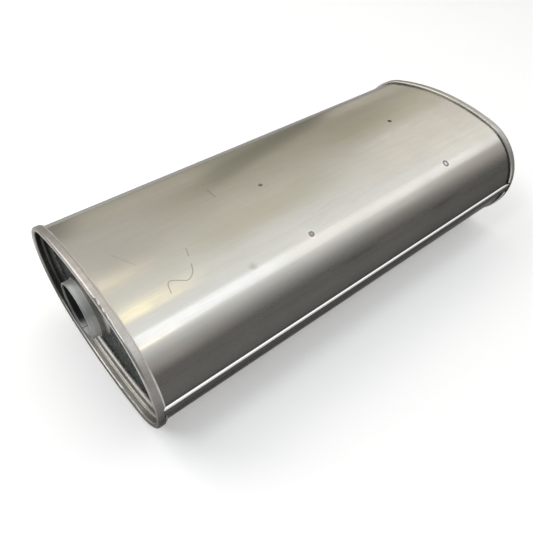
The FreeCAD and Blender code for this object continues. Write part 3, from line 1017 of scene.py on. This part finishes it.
    def patch_group(self) -> bpy.types.NodeTree:
        """Build the shape of a room patch.

        Returns:
            A group that gives how far a direction lies inside the patch.
        """
        names = ("Angle", "Reach", "Middle Angle", "Middle Reach")
        names += ("Half Angle", "Half Reach", "Slant", "Softness")
        wiring, given, result = new_group("room_patch", dict.fromkeys(names, 0.0), {"Share": "Float"})
        value = given.outputs
        along = wiring.math("SUBTRACT", value["Reach"], value["Middle Reach"])
        along = wiring.math("DIVIDE", along, value["Half Reach"])
        turn = wiring.math("SUBTRACT", value["Angle"], value["Middle Angle"])
        turn = wiring.math("DIVIDE", turn, value["Half Angle"])
        turn = wiring.math("MULTIPLY_ADD", along, value["Slant"], turn)
        inner = wiring.rest(value["Softness"])
        outer = wiring.math("ADD", 1.0, value["Softness"])
        sizes = [wiring.math("ABSOLUTE", part) for part in (turn, along)]
        sides = [wiring.span(size, inner, outer, 1.0, 0.0) for size in sizes]
        wiring.set(result.inputs["Share"], wiring.times(*sides))
        return wiring.tree

    def build_world(self) -> None:
        """Room that grades from a darker far wall over a bright ceiling to a dim near wall."""
        world = bpy.data.worlds.new("studio_room")
        world.use_nodes = True
        bpy.context.scene.world = world
        world.node_tree.nodes.clear()
        wiring = Wiring(world.node_tree)
        parts = wiring.split(wiring.put("ShaderNodeTexCoord").outputs["Generated"])
        reach = parts["X"]
        towards = wiring.times(parts["Y"], -1.0)
        angle = wiring.math("DEGREES", wiring.math("ARCTAN2", towards, parts["Z"]))
        colour = wiring.mix(Mixed.RGBA, wiring.ramp(angle, self.ceiling_rise), self.far_wall, self.ceiling)
        colour = wiring.mix(Mixed.RGBA, wiring.ramp(angle, self.near_fall), colour, self.near_wall)
        group = self.patch_group()
        for patch in (*self.far_patches(), *self.near_patches()):
            share = wiring.use(group, {"Angle": angle, "Reach": reach, **patch.values})["Share"]
            colour = wiring.mix(Mixed.RGBA, share, colour, patch.colour)
            log.info("room patch %s", patch.name)
        colour = wiring.mix(Mixed.RGBA, wiring.ramp(reach, self.dark_fade), colour, self.dark_end)
        colour = wiring.mix(Mixed.RGBA, wiring.ramp(reach, self.bright_rise), colour, self.bright_end)
        light = wiring.put("ShaderNodeBackground", {"Color": colour, "Strength": 1.0})
        wiring.put("ShaderNodeOutputWorld", {"Surface": light.outputs[0]})

    def build_lights(self) -> None:
        """Hang the soft lights."""
        cool, warm, mild, pale = (0.92, 1.0, 1.12), (1.06, 1.0, 0.95), (1.0, 0.99, 0.97), (0.97, 1.0, 1.02)
        near, far, mouth = (0.29, -0.07, 0.1), (1.25, -0.07, 0.1), (-0.22, 0.02, 0.07)
        overhead = (
            Softbox("shoulder_light", (0.29, -0.62, 1.2), (0.62, 0.45), tone=0.62, colour=cool, aim=near),
            Softbox("far_shoulder_light", (1.25, -0.62, 1.2), (1.3, 0.45), tone=0.3, colour=warm, aim=far),
            Softbox("key_light", (-0.75, 1.05, 1.25), (1.3, 1.3), tone=2.3, colour=mild),
            Softbox("neck_light", (-0.85, -0.1, 1.25), (0.35, 0.35), tone=9.0, colour=pale, aim=mouth),
        )
        for light in overhead:
            light.build()

    def build(self) -> None:
        """Set the whole studio up."""
        self.build_floor()
        self.build_world()
        self.build_lights()
        bpy.context.scene.view_settings.view_transform = "Standard"


class Assembly:
    """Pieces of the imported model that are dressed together."""

    def finishes(self) -> dict[str, SteelFinish]:
        """Finish of each piece, by the piece's name."""
        raise NotImplementedError

    def dress(self, nodes: dict[str, bpy.types.Object], effects: SteelEffects) -> None:
        """Give each piece its finished steel; pieces of one finish share one material.

        Args:
            nodes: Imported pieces, by name.
            effects: Shared node groups.
        """
        made = {}
        for name, finish in self.finishes().items():
            if finish not in made:
                made[finish] = finish.build(effects)
            for slot in nodes[name].material_slots:
                slot.material = made[finish]
            log.info("dressed %s", name)


@dataclass
class Shell(Assembly):
    """The wrapped outer sheet."""

    oval: Oval
    light: Colour = (0.615, 0.593, 0.555)
    dark: Colour = (0.585, 0.565, 0.53)
    smooth: float = 0.14
    rough: float = 0.17
    streak: float = 0.03
    burnt: Colour = (0.17, 0.085, 0.07)
    blacked: Colour = (0.022, 0.02, 0.012)
    blued: Colour = (0.32, 0.35, 0.46)
    pale_blued: Colour = (0.60, 0.72, 0.80)
    browned: Colour = (0.24, 0.13, 0.06)
    front_row_mm: float = -50.6
    rear_row_mm: float = 129.4

    def welds(self) -> tuple[WeldMark, ...]:
        """Heat tints of the two rows of spot welds.

        Returns:
            The tints; each stands for a weld above and its twin below.
        """
        front, rear = self.front_row_mm, self.rear_row_mm
        return (
            WeldMark(front, -5.0, radius_mm=2.1, core=self.browned, ring=self.browned, halo=0.04),
            WeldMark(rear, -0.5, radius_mm=2.2, core=self.blacked, ring=self.blacked, halo=0.0),
            WeldMark(front, -73.4, radius_mm=2.8, core=self.blued, ring=self.burnt, halo=0.12),
            WeldMark(rear, -77.0, radius_mm=3.5, core=self.pale_blued, ring=self.burnt, halo=0.1),
        )

    def scratches(self) -> tuple[Scratch, ...]:
        """The hair-thin curled line near the inlet, a dash, a nick and a rub.

        Returns:
            The marks, in that order.
        """
        bend = ((-152.6, -47.2), (-155.3, -53.1), (-158.1, -56.0), (-161.1, -57.7), (-163.8, -58.0))
        middle = ((-167.3, -55.8), (-171.6, -52.9), (-175.1, -51.6))
        hook = ((-176.6, -52.4), (-178.1, -54.6), (-178.6, -57.0), (-179.6, -60.9))
        curl = bend + middle + hook
        black = (0.12, 0.115, 0.11)
        dark = (0.2, 0.19, 0.17)
        grey = (0.3, 0.29, 0.27)
        return (
            Scratch(curl, width_mm=0.7, strength=0.5, colour=black),
            Scratch(((-147.6, -32.4), (-149.8, -39.3)), width_mm=0.9, strength=0.38, colour=dark),
            Scratch(((-91.6, 19.2), (-92.6, 5.7)), width_mm=0.7, strength=0.45, colour=dark),
            Scratch(((-197.8, -4.2), (-187.8, -24.7)), width_mm=0.9, strength=0.2, colour=grey),
        )

    def smudges(self) -> tuple[Smudge, ...]:
        """The rubbed place behind the curled line and two low on the near side.

        Returns:
            The rubbed places.
        """
        return (
            Smudge(centre_mm=(-113.0, -73.0, 118.0), half_mm=(5.0, 4.0, 4.0), factor=0.82, rough=0.42),
            Smudge(centre_mm=(-18.0, -99.0, 93.0), half_mm=(34.0, 5.0, 3.0), factor=0.8, rough=0.4),
            Smudge(centre_mm=(106.0, -99.0, 93.0), half_mm=(30.0, 5.0, 3.5), factor=0.78, rough=0.4),
        )

    def finishes(self) -> dict[str, SteelFinish]:
        """Steel of the shell, with its own marks.

        Returns:
            The finish, by the name of the shell.
        """
        steel = (self.light, self.dark, self.smooth, self.rough)
        marks = {"welds": self.welds(), "scratches": self.scratches(), "smudges": self.smudges()}
        finish = ShellFinish("shell_steel", *steel, streak=self.streak, oval=self.oval, **marks)
        return {"outer_shell": finish}


@dataclass
class Heads(Assembly):
    """The two pressed end pans; the outlet's band and foot line are darker."""

    light: Colour = (0.52, 0.505, 0.465)
    dark: Colour = (0.40, 0.39, 0.365)
    darker_band: Colour = (0.48, 0.47, 0.435)
    darker_foot: Colour = (0.56, 0.55, 0.51)
    smooth: float = 0.28
    rough: float = 0.38
    speckle: float = 0.22

    def finishes(self) -> dict[str, SteelFinish]:
        """Finish of each head.

        Returns:
            The finishes, by the name of the head.
        """
        pressed = (self.light, self.dark, self.smooth, self.rough, Grain.NONE)
        outlet_looks = {"band": self.darker_band, "foot": self.darker_foot}
        return {
            name: HeadFinish(name + "_steel", *pressed, speckle=self.speckle, **looks)
            for name, looks in (("inlet_head", {}), ("outlet_head", outlet_looks))
        }


@dataclass
class Necks(Assembly):
    """The two pipe sockets."""

    light: Colour = (0.78, 0.79, 0.78)
    dark: Colour = (0.66, 0.67, 0.67)
    smooth: float = 0.4
    rough: float = 0.45
    inlet_offset: float = 0.01905
    outlet_offset: float = -0.05715

    def finishes(self) -> dict[str, SteelFinish]:
        """Finish of each neck, with its own seam line.

        Returns:
            The finishes, by the name of the neck.
        """
        steel = (self.light, self.dark, self.smooth, self.rough)
        offsets = {"inlet_neck": self.inlet_offset, "outlet_neck": self.outlet_offset}
        return {name: NeckFinish(name + "_steel", *steel, offset=offset) for name, offset in offsets.items()}


@dataclass
class GasPath(Assembly):
    """The tubes and baffles inside."""

    light: Colour = (0.46, 0.45, 0.43)
    dark: Colour = (0.34, 0.33, 0.32)
    smooth: float = 0.38
    rough: float = 0.5
    speckle: float = 0.15
    names: tuple[str, ...] = ("front_baffle", "rear_baffle", "inlet_tube", "return_tube", "outlet_tube")

    def finishes(self) -> dict[str, SteelFinish]:
        """One dull steel for all the inner pieces."""
        steel = (self.light, self.dark, self.smooth, self.rough)
        return dict.fromkeys(self.names, SteelFinish("inner_steel", *steel, speckle=self.speckle))


def main() -> None:
    """Load the frame, dress each sub-assembly and set up the studio."""
    logging.basicConfig(level=logging.INFO)
    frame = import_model()
    bpy.ops.object.select_all(action="DESELECT")
    nodes = frame["nodes"]
    oval = Oval()
    effects = SteelEffects(oval)
    for assembly in (Shell(oval), Heads(), Necks(), GasPath()):
        assembly.dress(nodes, effects)
    PhotoCamera().build()
    Studio().build()


if __name__ == "__main__":
    main()
